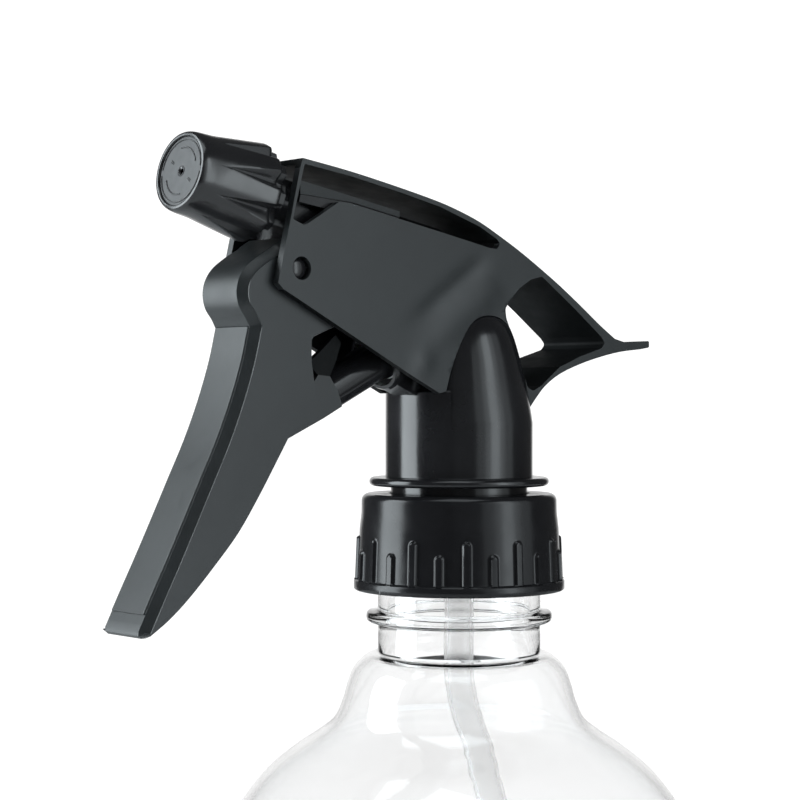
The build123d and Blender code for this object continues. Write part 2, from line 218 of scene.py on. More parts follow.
def lathe(name, outline, segments, place=None, shape_of=None):
    """A closed outline of (radius, z) turned about Z.

    shape_of(r, z, angle) may give each point a new radius and angle.
    """
    bm = bmesh.new()
    rings = []
    for r, z in outline:
        if r < 1e-4:
            rings.append([bm.verts.new((0, 0, z))])
            continue
        ring = []
        for k in range(segments):
            a = 2 * pi * k / segments
            rr, aa = shape_of(r, z, a) if shape_of else (r, a)
            ring.append(bm.verts.new((rr * cos(aa), rr * sin(aa), z)))
        rings.append(ring)
    for lower, upper in zip(rings, rings[1:] + rings[:1]):
        for k in range(segments):
            j = (k + 1) % segments
            corners = [row[i % len(row)] for row, i in ((lower, k), (lower, j), (upper, j), (upper, k))]
            face = list(dict.fromkeys(corners))
            if len(face) > 2:
                bm.faces.new(face)
    return finished(name, bm, place)


def moved_in(outline, amount):
    """A closed outline of either direction moved in; amount is one number or one for each point."""
    count = len(outline)
    area = sum(outline[k - 1][0] * outline[k][1] - outline[k][0] * outline[k - 1][1] for k in range(count))
    way = 1 if area > 0 else -1
    out = []
    for k, p in enumerate(outline):
        one = (Vector(p) - Vector(outline[k - 1])).normalized()
        two = (Vector(outline[(k + 1) % count]) - Vector(p)).normalized()
        along = one + two
        along = along.normalized() if along.length > 1e-6 else one
        reach = amount[k] if isinstance(amount, list) else amount
        reach = reach / max(along.dot(one), 0.5)
        out.append((p[0] - along.y * way * reach, p[1] + along.x * way * reach))
    return out


def layered(name, layers):
    """A closed solid through outlines of (x, z) with equal counts, each at its own y."""
    bm = bmesh.new()
    rows = [[bm.verts.new((x, y, z)) for x, z in outline] for y, outline in layers]
    for one, two in zip(rows, rows[1:]):
        for k in range(len(one)):
            j = (k + 1) % len(one)
            bm.faces.new([one[k], one[j], two[j], two[k]])
    bm.faces.new(rows[0])
    bm.faces.new(list(reversed(rows[-1])))
    return finished(name, bm)


# depth and inset of a flat chamfer with softened ends, as shares of its size
CHAMFER = [(0.0, 1.0), (0.14, 0.98), (0.17, 0.93), (0.5, 0.5), (0.9, 0.07), (0.95, 0.02), (1.0, 0.0)]


def quarter_round(steps):
    """Depth and inset of a rounded edge, as shares of its size."""
    angles = [pi / 2 * k / steps for k in range(steps + 1)]
    return [(1 - cos(a), 1 - sin(a)) for a in angles]


def plate(name, outline, low, high, edge=0.0, profile=()):
    """A prism along Y between low and high.

    edge is the size of its long edges, one number or one for each point, and profile is their shape.
    """
    if not edge:
        return layered(name, [(low, outline), (high, outline)])
    sizes = edge if isinstance(edge, list) else [edge] * len(outline)
    # every point's depth follows the widest edge, so that the layers stay flat
    deepest = max(sizes)
    layers = []
    for depth, inset in profile:
        layers.append((low + deepest * depth, moved_in(outline, [size * inset for size in sizes])))
    mirrored = [(low + high - y, shape) for y, shape in reversed(layers)]
    return layered(name, layers + mirrored)


def rod(name, radius, low, high, segments, place):
    """A plain round rod made about Z between low and high."""
    return lathe(name, [(0, low), (radius, low), (radius, high), (0, high)], segments, place)


def cross_rod(name, radius, low, high, at, segments=48, dome=0.0):
    """A rod along Y at (x, z), with ends that may be domed."""
    turn = Matrix.Translation(Vector((at[0], 0, at[1]))) @ Matrix.Rotation(radians(-90), 4, "X")
    if not dome:
        return rod(name, radius, low, high, segments, turn)
    crown = [(radius * cos(t), high + dome * sin(t)) for t in [pi / 2 * k / 8 for k in range(9)]]
    foot = [(r, low - (z - high)) for r, z in reversed(crown)]
    return lathe(name, foot + crown, segments, turn)


def ridge(name, root_r, crest_r, start_z, half_root, half_crest, phase=0.0):
    """A screw thread's ridge with ends that fade into the root."""
    bm = bmesh.new()
    per_turn = 64
    count = int(THREAD_TURNS * per_turn)
    sections = []
    for k in range(count + 1):
        a = 2 * pi * k / per_turn
        z = start_z + THREAD_PITCH * k / per_turn
        fade = min(1.0, k / 6, (count - k) / 6)
        tip = root_r + (crest_r - root_r) * (0.1 + 0.9 * fade)
        section = []
        for r, dz in ((root_r, -half_root), (tip, -half_crest), (tip, half_crest), (root_r, half_root)):
            section.append(bm.verts.new((r * cos(a + phase), r * sin(a + phase), z + dz)))
        sections.append(section)
    for one, two in zip(sections, sections[1:]):
        for k in range(4):
            j = (k + 1) % 4
            bm.faces.new([one[k], one[j], two[j], two[k]])
    bm.faces.new(list(reversed(sections[0])))
    bm.faces.new(sections[-1])
    return finished(name, bm)


def tube(name, points, radius, bore, sides):
    """A tube round a polyline of 3-D points, hollow if it has a bore, with closed ends."""
    bm = bmesh.new()
    pts = [Vector(p) for p in points]
    loops = []
    up = Vector((0, 1, 0))
    for i, p in enumerate(pts):
        along = (pts[min(i + 1, len(pts) - 1)] - pts[max(i - 1, 0)]).normalized()
        side = along.cross(up)
        side = side.normalized() if side.length > 1e-3 else Vector((1, 0, 0))
        up = side.cross(along).normalized()
        loop = []
        for r in (radius, bore) if bore else (radius,):
            turn = [2 * pi * k / sides for k in range(sides)]
            loop.append([bm.verts.new(p + (side * cos(a) + up * sin(a)) * r) for a in turn])
        loops.append(loop)
    for one, two in zip(loops, loops[1:]):
        for a, b in zip(one, two):
            for k in range(sides):
                j = (k + 1) % sides
                bm.faces.new([a[k], a[j], b[j], b[k]])
    for loop in (loops[0], loops[-1]):
        if bore:
            for k in range(sides):
                j = (k + 1) % sides
                bm.faces.new([loop[0][k], loop[0][j], loop[1][j], loop[1][k]])
        else:
            bm.faces.new(loop[0])
    return finished(name, bm)


def apply_modifiers(obj):
    """Makes the shape that the modifiers give the object's own."""
    depsgraph = bpy.context.evaluated_depsgraph_get()
    mesh = bpy.data.meshes.new_from_object(obj.evaluated_get(depsgraph))
    obj.modifiers.clear()
    old = obj.data
    obj.data = mesh
    bpy.data.meshes.remove(old)


def cut_or_join(obj, others, operation):
    """Exact boolean of obj with each of the others, which are used up."""
    for other in others:
        step = obj.modifiers.new("boolean", "BOOLEAN")
        step.operation = operation
        step.solver = "EXACT"
        step.object = other
        apply_modifiers(obj)
        bpy.data.objects.remove(other)


def join(obj, *others):
    cut_or_join(obj, others, "UNION")


def cut(obj, *others):
    cut_or_join(obj, others, "DIFFERENCE")


def soften(obj, width, segments, angle=32):
    """Rounds every edge that turns by more than angle."""
    step = obj.modifiers.new("edges", "BEVEL")
    step.width = width * MM
    step.segments = segments
    step.limit_method = "ANGLE"
    step.angle_limit = radians(angle)
    step.use_clamp_overlap = True
    apply_modifiers(obj)


def shade(obj, angle=40):
    """Smooth shading with creases kept, and big flat faces kept flat."""
    obj.data.shade_smooth()
    obj.data.set_sharp_from_angle(angle=radians(angle))
    step = obj.modifiers.new("normals", "WEIGHTED_NORMAL")
    step.keep_sharp = True
    step.weight = 80


# ---------------------------------------------------------------- materials


def fill(node, **sockets):
    """Sets a node's input sockets; _ stands for a space in a socket's name."""
    for socket, value in sockets.items():
        node.inputs[socket.replace("_", " ")].default_value = value


class Shader:
    """A Principled material with helpers for procedural detail."""

    def __init__(self, name, color, roughness, **sockets):
        self.material = bpy.data.materials.new(name)
        self.material.use_nodes = True
        self.nodes = self.material.node_tree.nodes
        self.link = self.material.node_tree.links.new
        self.bsdf = self.nodes["Principled BSDF"]
        fill(self.bsdf, Base_Color=(*color, 1), Roughness=roughness, **sockets)
        self.height = None
        self.coordinates = self.nodes.new("ShaderNodeTexCoord").outputs["Object"]

    def noise(self, scale, detail, stretch=None):
        node = self.nodes.new("ShaderNodeTexNoise")
        fill(node, Scale=scale, Detail=detail, Roughness=0.55)
        source = self.coordinates
        if stretch:
            mapping = self.nodes.new("ShaderNodeMapping")
            fill(mapping, Scale=stretch)
            self.link(source, mapping.inputs["Vector"])
            source = mapping.outputs["Vector"]
        self.link(source, node.inputs["Vector"])
        return node.outputs["Fac"]

    def ranged(self, source, low, high):
        """Spreads the middle of a noise, where nearly all of it lies, over low to high."""
        node = self.nodes.new("ShaderNodeMapRange")
        fill(node, From_Min=0.3, From_Max=0.7, To_Min=low, To_Max=high)
        self.link(source, node.inputs["Value"])
        return node.outputs["Result"]

    def roughness(self, source, low, high):
        self.link(self.ranged(source, low, high), self.bsdf.inputs["Roughness"])

    def colors(self, source, dark, light):
        node = self.nodes.new("ShaderNodeMix")
        node.data_type = "RGBA"
        fill(node, A=(*dark, 1), B=(*light, 1))
        self.link(self.ranged(source, 0.0, 1.0), node.inputs["Factor"])
        self.link(node.outputs["Result"], self.bsdf.inputs["Base Color"])

    def bump(self, source, strength, depth_mm):
        node = self.nodes.new("ShaderNodeBump")
        fill(node, Strength=strength, Distance=depth_mm * MM)
        self.link(source, node.inputs["Height"])
        if self.height is not None:
            self.link(self.height, node.inputs["Normal"])
        self.height = node.outputs["Normal"]
        self.link(self.height, self.bsdf.inputs["Normal"])


def gloss_black():
    """Polished moulded polypropylene: deep black, with faint sink waves and handling marks in the gloss."""
    s = Shader("gloss_black", (0.010, 0.010, 0.011), 0.14, Specular_IOR_Level=0.45)
    s.colors(s.noise(90, 4), (0.008, 0.008, 0.009), (0.014, 0.014, 0.0155))
    s.roughness(s.noise(260, 5, (1, 1, 0.35)), 0.13, 0.22)
    s.bump(s.noise(70, 1), 0.35, 0.05)
    s.bump(s.noise(1500, 2), 0.05, 0.01)
    return s.material


def closure_black():
    """The closure's plastic: gloss black, a little duller from handling."""
    s = Shader("closure_black", (0.010, 0.010, 0.011), 0.2, Specular_IOR_Level=0.32)
    s.colors(s.noise(90, 4), (0.008, 0.008, 0.009), (0.012, 0.012, 0.0135))
    s.roughness(s.noise(300, 5), 0.15, 0.26)
    s.bump(s.noise(90, 1), 0.45, 0.06)
    s.bump(s.noise(1500, 2), 0.05, 0.01)
    return s.material


def knob_black():
    """The nozzle knob's plastic: black with a softer gloss."""
    s = Shader("knob_black", (0.012, 0.012, 0.013), 0.3, Specular_IOR_Level=0.6)
    s.colors(s.noise(90, 4), (0.010, 0.010, 0.011), (0.016, 0.016, 0.0175))
    s.roughness(s.noise(400, 5), 0.17, 0.25)
    s.bump(s.noise(1800, 2), 0.1, 0.01)
    return s.material


def satin_charcoal(name="satin_charcoal", painted_shade_scale=1.0, gloss=0.5, rough=0.33):
    """Spark-textured moulded polypropylene: charcoal, with a fine even grain."""
    s = Shader(name, (0.020, 0.023, 0.024), 0.4, Specular_IOR_Level=gloss)
    # painted_shade_scale below 1 darkens the grain colours: painted shade for the copies of this plastic used
    # in shaded places
    dark = [painted_shade_scale * c for c in (0.0145, 0.0168, 0.0178)]
    light = [painted_shade_scale * c for c in (0.0205, 0.0238, 0.0252)]
    s.colors(s.noise(60, 4), dark, light)
    s.roughness(s.noise(420, 5), rough, rough + 0.1)
    s.bump(s.noise(55, 1), 0.3, 0.06)
    s.bump(s.noise(3200, 2), 0.35, 0.012)
    return s.material


def satin_face():
    """The nozzle's face: the same black plastic with a fine bead-blasted texture."""
    s = Shader("satin_face", (0.045, 0.046, 0.048), 0.42, Specular_IOR_Level=0.5)
    s.colors(s.noise(300, 5), (0.036, 0.037, 0.039), (0.056, 0.057, 0.059))
    s.roughness(s.noise(900, 4), 0.38, 0.5)
    s.bump(s.noise(4200, 2), 0.5, 0.015)
    return s.material


def clear_pet():
    """Blow-moulded clear PET: glassy, with slight waves in the wall."""
    s = Shader("clear_pet", (0.99, 0.99, 0.99), 0.02, Transmission_Weight=1.0, IOR=1.5)
    s.roughness(s.noise(120, 3), 0.01, 0.04)
    s.bump(s.noise(45, 2, (1, 1, 0.45)), 0.25, 0.12)
    # a long way through the wall, as at the outline, looks grey
    absorption = s.nodes.new("ShaderNodeVolumeAbsorption")
    fill(absorption, Color=(0.5, 0.51, 0.51, 1), Density=75)
    s.link(absorption.outputs["Volume"], s.nodes["Material Output"].inputs["Volume"])
    return s.material


def milky_tube():
    """Extruded natural polyethylene: milky and translucent, with faint draw lines along it."""
    s = Shader("milky_tube", (0.97, 0.97, 0.97), 0.2, Transmission_Weight=0.93, IOR=1.3)
    s.colors(s.noise(140, 3, (1, 1, 0.1)), (0.96, 0.96, 0.96), (0.985, 0.985, 0.985))
    s.roughness(s.noise(500, 3, (1, 1, 0.1)), 0.12, 0.24)
    s.bump(s.noise(1200, 2, (1, 1, 0.05)), 0.2, 0.01)
    return s.material


def natural_plastic():
    """Natural polyethylene for the hidden seals and plugs."""
    s = Shader("natural_plastic", (0.78, 0.78, 0.74), 0.4, Subsurface_Weight=0.12, Subsurface_Scale=0.002)
    s.colors(s.noise(160, 4), (0.72, 0.72, 0.68), (0.82, 0.82, 0.79))
    s.roughness(s.noise(700, 4), 0.32, 0.46)
    s.bump(s.noise(2000, 2), 0.2, 0.01)
    return s.material


def white_foam():
    """Foamed polyethylene liner with its cells showing."""
    s = Shader("white_foam", (0.88, 0.88, 0.86), 0.75)
    s.colors(s.noise(1200, 4), (0.80, 0.80, 0.78), (0.93, 0.93, 0.91))
    s.roughness(s.noise(1500, 3), 0.65, 0.85)
    s.bump(s.noise(2200, 3), 0.6, 0.05)
    return s.material


def drawn_steel():
    """Spring wire with drawing marks."""
    s = Shader("drawn_steel", (0.60, 0.60, 0.59), 0.3, Metallic=1.0)
    s.colors(s.noise(500, 3), (0.52, 0.52, 0.51), (0.68, 0.68, 0.67))
    s.roughness(s.noise(2500, 3), 0.22, 0.38)
    s.bump(s.noise(4000, 2), 0.2, 0.01)
    return s.material


def polished_steel():
    s = Shader("polished_steel", (0.77, 0.77, 0.78), 0.07, Metallic=1.0)
    s.colors(s.noise(700, 3), (0.72, 0.72, 0.73), (0.80, 0.80, 0.81))
    s.roughness(s.noise(1500, 3), 0.05, 0.12)
    return s.material


MATERIALS = {
    "black_gloss": gloss_black(),
    "charcoal_satin": satin_charcoal(),
    # a much darker copy of the charcoal: painted shade for inner faces and faces turned down
    "charcoal_painted_shade": satin_charcoal("charcoal_painted_shade", painted_shade_scale=0.3, gloss=0.12, rough=0.6),
    # a slightly darker copy of the charcoal: painted shade on the guide strips seen inside the slots
    "charcoal_rail": satin_charcoal("charcoal_rail", painted_shade_scale=0.85, gloss=0.4, rough=0.42),
    "knob_black": knob_black(),
    "closure_black": closure_black(),
    "nozzle_face": satin_face(),
    "clear_bottle": clear_pet(),
    "milky_tube": milky_tube(),
    "natural_plastic": natural_plastic(),
    "white_foam": white_foam(),
    "spring_steel": drawn_steel(),
    "steel_ball": polished_steel(),
}


def dress(obj, look, body):
    """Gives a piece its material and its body."""
    obj.data.materials.clear()
    obj.data.materials.append(MATERIALS[look])
    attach(obj, body)


# ---------------------------------------------------------------- bottle


SHOULDER = [
    (BOTTLE_R, 98.0), (37.3, 102.6), (35.6, 107.6), (33.1, 111.8), (29.7, 115.9), (25.5, 119.3),
    (21.9, 121.7), (19.4, 123.8), (18.0, 126.8), (17.2, 129.6), (16.2, 131.9), (14.4, 133.6), (NECK_R, 134.3),
]


def shoulder(inset):
    """The shoulder's half section from the side wall up to the neck, moved in by inset."""
    outer = through(SHOULDER, 7)
    moved = []
    for i, p in enumerate(outer):
        a = Vector(outer[max(i - 1, 0)])
        b = Vector(outer[min(i + 1, len(outer) - 1)])
        normal = Vector(((b - a).y, -(b - a).x)).normalized()
        moved.append((p[0] - normal.x * inset, p[1] - normal.y * inset))
    return moved


def make_bottle():
    bore = NECK_R - WALL * 1.25
    foot = through([(0, 5.0), (8, 4.7), (16, 3.6), (24, 1.7), (29.5, 0.25), (31.0, 0.0)], 5)
    heel_centre = (BOTTLE_R - HEEL_R, HEEL_R)
    outside = foot + [(33.5, 0.0)] + arc(heel_centre, HEEL_R, -88, 0, 10)
    outside += [(BOTTLE_R, 20.0), (BOTTLE_R, 60.0)]
    bead_low, bead_high = BEAD_Z
    neck = [
        (NECK_R, 136.0), (NECK_R, bead_low - 0.35), (NECK_R + 0.35, bead_low),
        (BEAD_R - 0.4, bead_low + 0.05), (BEAD_R - 0.08, bead_low + 0.35), (BEAD_R, bead_low + 0.8),
        (BEAD_R - 0.1, bead_high - 0.3), (BEAD_R - 0.4, bead_high - 0.05),
        (NECK_R + 0.4, bead_high), (NECK_R, bead_high + 0.4),
        (NECK_R, 145.0), (NECK_R, NECK_TOP_Z - 0.4), (NECK_R - 0.4, NECK_TOP_Z),
    ]
    rim = [(bore + 0.4, NECK_TOP_Z), (bore, NECK_TOP_Z - 0.4), (bore, 145.0), (bore, 137.2)]
    inside_shoulder = [p for p in reversed(shoulder(WALL)) if p[0] > bore + 0.05]
    inside_foot = [(r, z + WALL) for r, z in reversed(foot)]
    heel = arc(heel_centre, HEEL_R - WALL, 0, -80, 10)
    inside = [(BOTTLE_R - WALL, 60.0), (BOTTLE_R - WALL, 20.0)] + heel + inside_foot
    obj = lathe("bottle_shell", outside + shoulder(0) + neck + rim + inside_shoulder + inside, 160)
    thread = ridge("neck_thread", NECK_R - 0.3, THREAD_R, THREAD_START_Z, 1.25, 0.5)
    join(obj, thread)
    shade(obj, 50)
    dress(obj, "clear_bottle", "bottle")
    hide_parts("bottle")


# ---------------------------------------------------------------- closure


def closure_ribs(r, z, angle):
    """Raised bars round the skirt, every second one longer, rounded at their tops."""
    low, high = CLOSURE_Z
    if r < CLOSURE_R[1] - 0.3 or z > high - 2:
        return r, angle
    step = 2 * pi / RIB_COUNT
    turn = angle - radians(RIB_PHASE)
    index = round(turn / step)
    across = abs(turn - index * step) * CLOSURE_R[0]
    above = max(0.0, z - (low + RIB_TOPS[index % 2]))
    distance = hypot(across, above)
    rise = RIB_RISE * min(1.0, max(0.0, (RIB_HALF + RIB_SLOPE - distance) / RIB_SLOPE))
    return (r + rise if z > low + FLANGE_HEIGHT else r), angle


def make_closure():
    low, high = CLOSURE_Z
    under = high - CLOSURE_TOP_WALL
    skirt_rows = [low + SKIRT_FOOT + 0.16 * k for k in range(48)]
    skirt = [(CLOSURE_R[0] - 0.04 * (z - low - SKIRT_FOOT), z) for z in skirt_rows]
    flange = [
        (CLOSURE_BORE_R + 0.3, low), (FLANGE_R - 0.2, low), (FLANGE_R, low + 0.2), (FLANGE_R, low + 1.35),
        (FLANGE_R - 0.15, low + 1.55), (FLANGE_R - 0.4, low + 1.62), (CLOSURE_R[0] + 0.05, low + 1.7),
    ]
    brow = [(CLOSURE_R[1] + 0.03, high - 3.0)] + arc((CLOSURE_R[1] - 1.1, high - 1.1), 1.1, 0, 90, 8)
    inside = [
        (HEAD_HOLE_R + 0.2, high), (HEAD_HOLE_R, high - 0.2), (HEAD_HOLE_R, under),
        (CLOSURE_BORE_R - 0.4, under), (CLOSURE_BORE_R, under - 0.4), (CLOSURE_BORE_R, low + 0.3),
    ]
    obj = lathe("closure_cap", flange + skirt + brow + inside, RIB_COUNT * 20, shape_of=closure_ribs)
    start = THREAD_START_Z - THREAD_PITCH / 4
    thread = ridge("closure_thread", CLOSURE_BORE_R + 0.3, CLOSURE_CREST_R, start, 1.1, 0.45, pi / 2)
    join(obj, thread)
    shade(obj, 45)
    dress(obj, "closure_black", "closure")
    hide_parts("closure")


# ---------------------------------------------------------------- pump body


def pump_body_bores():
    """The socket in the column's foot, the pump's bore, the barrel's chamber and the two rising channels."""
    bottom = COLUMN_FOOT_Z - 1
    socket = [(0, bottom), (8.4, bottom), (8.4, 165.5), (5.0, 165.5), (5.0, 168.5), (0, 168.5)]
    channel_r = 1.2
    channel_rear = BARREL_REAR + 3.5
    chamber = [
        (0, channel_rear), (channel_r, channel_rear), (channel_r, CHAMBER_REAR), (CHAMBER_R, CHAMBER_REAR),
        (CHAMBER_R, 0), (0, 0),
    ]
    return (
        lathe("bore", socket, 64),
        rod("pump_bore", CYLINDER_BORE_R, -1, CYLINDER_DEPTH, 64, PUMP),
        lathe("chamber", chamber, 48, BARREL),
        rod("rise", 1.4, 168.0, 184.0, 32, Matrix.Translation((1.8, 0, 0))),
        rod("outlet", 1.1, 186.5, 195.8, 32, Matrix.Translation((4.5, 0, 0))),
    )


def make_pump_body():
    foot_r = HEAD_HOLE_R - 0.3
    collar_low, collar_high = COLLAR_Z
    half = (collar_high - collar_low) / 2
    outline = [(0, COLUMN_FOOT_Z), (foot_r, COLUMN_FOOT_Z), (foot_r, collar_low)]
    outline += arc((COLLAR_R - half, sum(COLLAR_Z) / 2), half, -90, 90, 12)
    outline += [
        (COLUMN_R + 0.35, collar_high), (COLUMN_R + 0.08, collar_high + 0.1), (COLUMN_R, collar_high + 0.4),
        (COLUMN_R, 165.0),
    ]
    body = lathe("pump_housing", outline + through(DOME, 6), 128)
    sleeve_wall = [
        (SLEEVE_BORE_R, 163.0), (COLUMN_R, 163.0), (COLUMN_R, LEDGE_Z - 0.25), (COLUMN_R - 0.25, LEDGE_Z),
        (SLEEVE_BORE_R, LEDGE_Z),
    ]
    sleeve = lathe("sleeve", sleeve_wall, 128)
    cut(sleeve, plate("rear_half", [(-20, 150), (LEDGE_X, 150), (LEDGE_X, 190), (-20, 190)], -20, 20))
    cylinder_wall = [
        (0, 0), (CYLINDER_R - 0.4, 0), (CYLINDER_R, 0.4), (CYLINDER_R, CYLINDER_DEPTH + 0.6),
        (CYLINDER_R - 0.6, CYLINDER_DEPTH + 1.2), (0, CYLINDER_DEPTH + 1.2),
    ]
    cylinder = lathe("cylinder", cylinder_wall, 72, PUMP)
    barrel_wall = [
        (0, BARREL_REAR), (BARREL_R - 0.4, BARREL_REAR), (BARREL_R, BARREL_REAR + 0.4), (BARREL_R, STEM_REAR),
        (STEM_R - 0.3, STEM_REAR), (STEM_R, STEM_REAR + 0.3), (STEM_R, BARREL_FRONT - 0.3),
        (STEM_R - 0.3, BARREL_FRONT), (0, BARREL_FRONT),
    ]
    barrel = lathe("barrel", barrel_wall, 72, BARREL)
    gusset_side = [(15.4, 175.4), (11.0, 173.6), (5.0, 172.6), (4.0, 182.0), (13.0, 182.0)]
    gusset = plate("gusset", rounded(gusset_side, 0.6), -2.5, 2.5)
    web_side = [(13.0, 182.0), (-4.0, 184.0), (-5.0, 192.0), (0.0, 195.0), (34.0, 199.0), (30.0, 196.0)]
    web = plate("web", web_side, -1.5, 1.5)
    rail_side = [(35.2, 203.9), (17.2, 200.7), (17.2, 198.4), (35.9, 201.0)]
    rail = plate("rail", rail_side, -RAIL_HALF, RAIL_HALF)
    x, z = PIVOT
    lug_side = [(x - LUG_R, z), (x + 1.4, z), (x - 1.4, z + 9.5), (x - 6.0, z + 8.0)]
    lug = plate("lug", lug_side, -LUG_HALF, LUG_HALF)
    lug_end = cross_rod("lug_end", LUG_R, -LUG_HALF, LUG_HALF, PIVOT)
    stud = cross_rod("stud", PIVOT_STUD_R, -STUD_HALF, STUD_HALF, PIVOT, dome=0.7)
    join(body, sleeve, cylinder, barrel, gusset, web, rail, lug, lug_end, stud)
    cut(body, *pump_body_bores())
    shade(body, 38)
    dress(body, "black_gloss", "sprayer_head")
    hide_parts("pump_body")


# ---------------------------------------------------------------- piston and trigger


def make_piston():
    front, rear = HEAD_SPAN
    tip = -PISTON_ROD_OUT
    outline = [
        (0, tip), (PISTON_ROD_R - 0.6, tip), (PISTON_ROD_R - 0.15, tip + 0.2), (PISTON_ROD_R, tip + 0.6),
        (PISTON_ROD_R, front), (PISTON_HEAD_R, front + 0.3), (PISTON_HEAD_R, front + 0.7),
        (SEAL_SEAT_R, front + 0.7), (SEAL_SEAT_R, front + 2.2), (PISTON_HEAD_R, front + 2.2),
        (PISTON_HEAD_R, rear - 1.9), (SEAL_SEAT_R, rear - 1.9), (SEAL_SEAT_R, rear - 0.4), (2.2, rear),
        (ROD_BORE_R, rear), (ROD_BORE_R, tip + 2.0), (0, tip + 2.0),
    ]
    obj = lathe("piston_rod", outline, 72, PUMP)
    shade(obj, 35)
    dress(obj, "black_gloss", "piston")
    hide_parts("piston")


TRIGGER_BUMP = [
    (38.2, 195.6), (39.9, 194.5), (42.3, 193.1), (44.4, 191.5), (45.6, 189.7), (45.95, 187.8), (45.5, 185.9),
    (44.4, 184.4), (43.65, 183.1),
]
TRIGGER_FRONT = [
    (43.65, 183.1), (44.8, 178.5), (46.7, 173.0), (49.1, 167.4), (51.8, 162.1), (54.5, 156.8), (57.2, 151.6),
    (60.0, 146.4), (62.2, 142.2),
]
TRIGGER_REAR = [
    (61.0, 141.2), (57.9, 143.2), (54.6, 145.9), (50.4, 150.0), (46.2, 154.5), (42.4, 159.8), (39.6, 164.1),
    (36.9, 168.3),
]
PUSH_PLATE = [
    (31.0, 177.2), (29.4, 176.6), (27.75, 174.2), (26.95, 172.1), (30.4, 170.4), (41.8, 165.4), (45.0, 171.2),
    (43.9, 175.2), (34.0, 173.2),
]
EAR_RIB = [
    (31.5, 176.6), (33.4, 178.2), (31.0, 180.0), (28.2, 182.4), (27.2, 181.2), (28.3, 178.3), (29.3, 176.4),
]
EAR_RIB_INNER = 3.2      # the ribs' inner faces stand this far from the middle
EAR_FRONT_X = 33.3       # the ears' inner faces, which get painted shade, lie behind this
EAR_LOW_Z = 176.6        # and above this


def trigger_front():
    """The front's outline, from the bump by the pivot down to the tip."""
    return through(TRIGGER_BUMP, 5)[:-1] + through(TRIGGER_FRONT, 4)


def trigger_profile():
    """The whole outline of the trigger's side."""
    ears = [(31.8, 170.4), (33.2, 178.4), (33.2, 181.4), (32.9, 181.8), (27.4, 183.9), (30.2, 190.5)]
    top = [(33.1, 195.0), (34.4, 196.3), (37.0, 196.3)]
    tip = [(62.2, 141.6), (61.7, 141.2)]
    return trigger_front() + tip + through(TRIGGER_REAR, 4) + ears + top


def inner_front():
    """The front wall's inner face, one wall behind the front."""
    run = through(TRIGGER_BUMP[:-1] + TRIGGER_FRONT[:-1], 4)
    inner = []
    for i, p in enumerate(run[1:-1], 1):
        along = (Vector(run[i + 1]) - Vector(run[i - 1])).normalized()
        normal = Vector((along.y, -along.x))
        inner.append((p[0] + normal.x * TRIGGER_FRONT_WALL, p[1] + normal.y * TRIGGER_FRONT_WALL))
    return inner


def make_trigger():
    outline = trigger_profile()
    front_count = len(trigger_front())
    # the front's long edges get the wide chamfer that the hand feels, the others a small one
    edge = [TRIGGER_FRONT_EDGE if 2 < k < front_count else TRIGGER_SMALL_EDGE for k in range(len(outline))]
    body = plate("finger_trigger", outline, -TRIGGER_HALF, TRIGGER_HALF, edge, CHAMFER)
    hollow = inner_front() + [(58.6, 138.0), (20.0, 150.0), (20.0, 200.0), (37.4, 200.0)]
    inside = TRIGGER_HALF - TRIGGER_WALL
    cut(body, plate("hollow", hollow, -inside, inside))
    reach = inside + 0.1
    join(body, plate("push_plate", rounded(PUSH_PLATE, 0.25, 3), -reach, reach))
    # ribs inside the ears, which join them to the push plate on both sides of the piston's rod
    rib_left = plate("rib_left", EAR_RIB, EAR_RIB_INNER, reach)
    rib_right = plate("rib_right", EAR_RIB, -reach, -EAR_RIB_INNER)
    join(body, rib_left, rib_right)
    # raised grip panel down the front, which starts under the bump
    line = through(TRIGGER_FRONT, 4)
    panel_front = [(x + 0.22, z + 0.1) for x, z in line[:-2]]
    panel_back = [(x - 0.7, z - 0.35) for x, z in reversed(line[:-2])]
    join(body, plate("grip_panel", panel_front + panel_back, -GRIP_HALF, GRIP_HALF, 0.3, quarter_round(4)))
    cut(body, cross_rod("pivot_hole", PIVOT_HOLE_R, -20, 20, PIVOT))
    shade(body, 35)
    dress(body, "charcoal_satin", "trigger")
    # painted shade: the ears' inner faces round the piston's rod get the darkened copy of the charcoal
    body.data.materials.append(MATERIALS["charcoal_painted_shade"])
    for face in body.data.polygons:
        x, y, z = (c / MM for c in face.center)
        if abs(y) < inside + 0.15 and x < EAR_FRONT_X and z > EAR_LOW_Z:
            face.material_index = 1
    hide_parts("trigger")


# ---------------------------------------------------------------- shroud


ROOF = [
    (36.4, 207.0), (27.8, 205.8), (18.2, 204.1), (10.3, 202.5), (6.2, 201.4), (2.0, 200.0), (-2.2, 198.1),
    (-6.5, 196.0), (-10.9, 193.6), (-15.4, 191.0), (-20.0, 188.1), (-24.7, 185.0), (-28.2, 182.9),
]
TONGUE = [(-30.5, 182.4), (-36.3, 182.7), (-36.5, 182.5), (-36.5, 181.8), (-36.3, 181.6)]
UNDERSIDE = [
    (-34.3, 181.3), (-29.4, 180.8), (-24.7, 179.9), (-20.0, 178.7), (-15.4, 177.1), (-12.1, 175.2),
    (-9.8, 173.0), (-8.7, 171.8),
]
ARCH = [
    (-8.7, 171.8), (-7.4, 176.4), (-5.9, 180.4), (-3.9, 183.2), (-2.2, 184.8), (-0.3, 185.4), (2.0, 185.1),
    (4.4, 183.9), (6.3, 181.0), (8.0, 177.4), (9.0, 174.3),
]
FRONT = [
    (10.3, 174.0), (15.7, 176.5), (36.9, 187.0), (39.8, 188.4), (40.8, 189.3), (38.7, 197.9), (36.9, 205.6),
]
